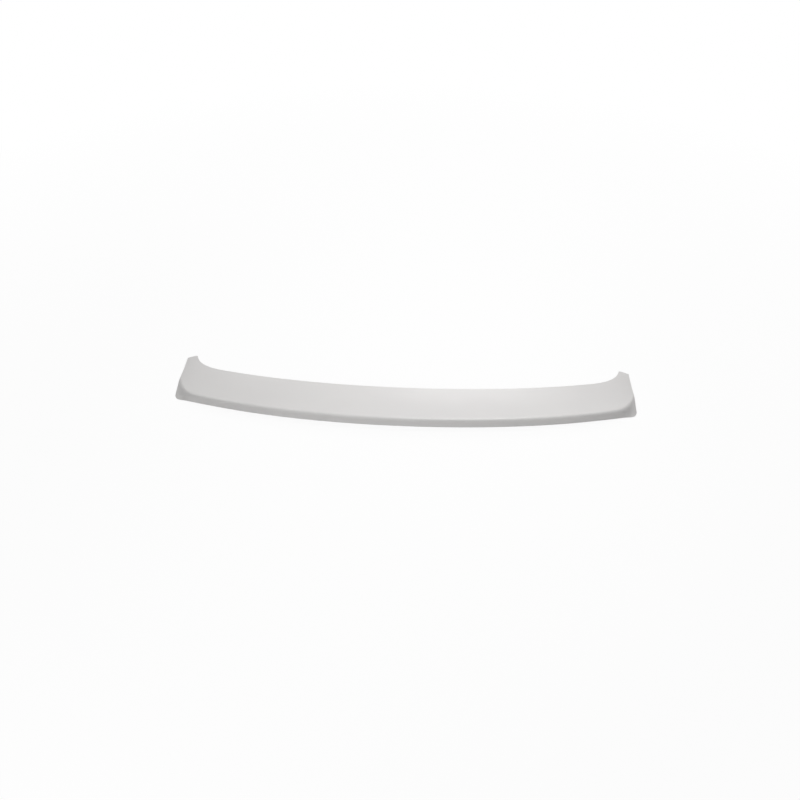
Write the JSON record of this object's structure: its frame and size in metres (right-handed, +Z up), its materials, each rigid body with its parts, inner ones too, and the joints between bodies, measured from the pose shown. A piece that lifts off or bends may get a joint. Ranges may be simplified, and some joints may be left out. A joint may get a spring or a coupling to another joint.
{
  "type": "rear spoiler",
  "caption": "One-piece rear lip spoiler in pale moulded plastic: a crescent strip with a raised trailing lip and short forward horns, hollow underneath",
  "frame": {"origin": "middle of the rear wall's foot, on the panel that the spoiler is bonded to", "axes": "+X across the car to the right, +Y forward, +Z up"},
  "size_m": [1.233, 0.2531, 0.0373],
  "materials": {
    "shell": "satin unpainted moulding"
  },
  "bodies": {
    "root": {"spoiler_shell": "shell"}
  },
  "joints": []
}
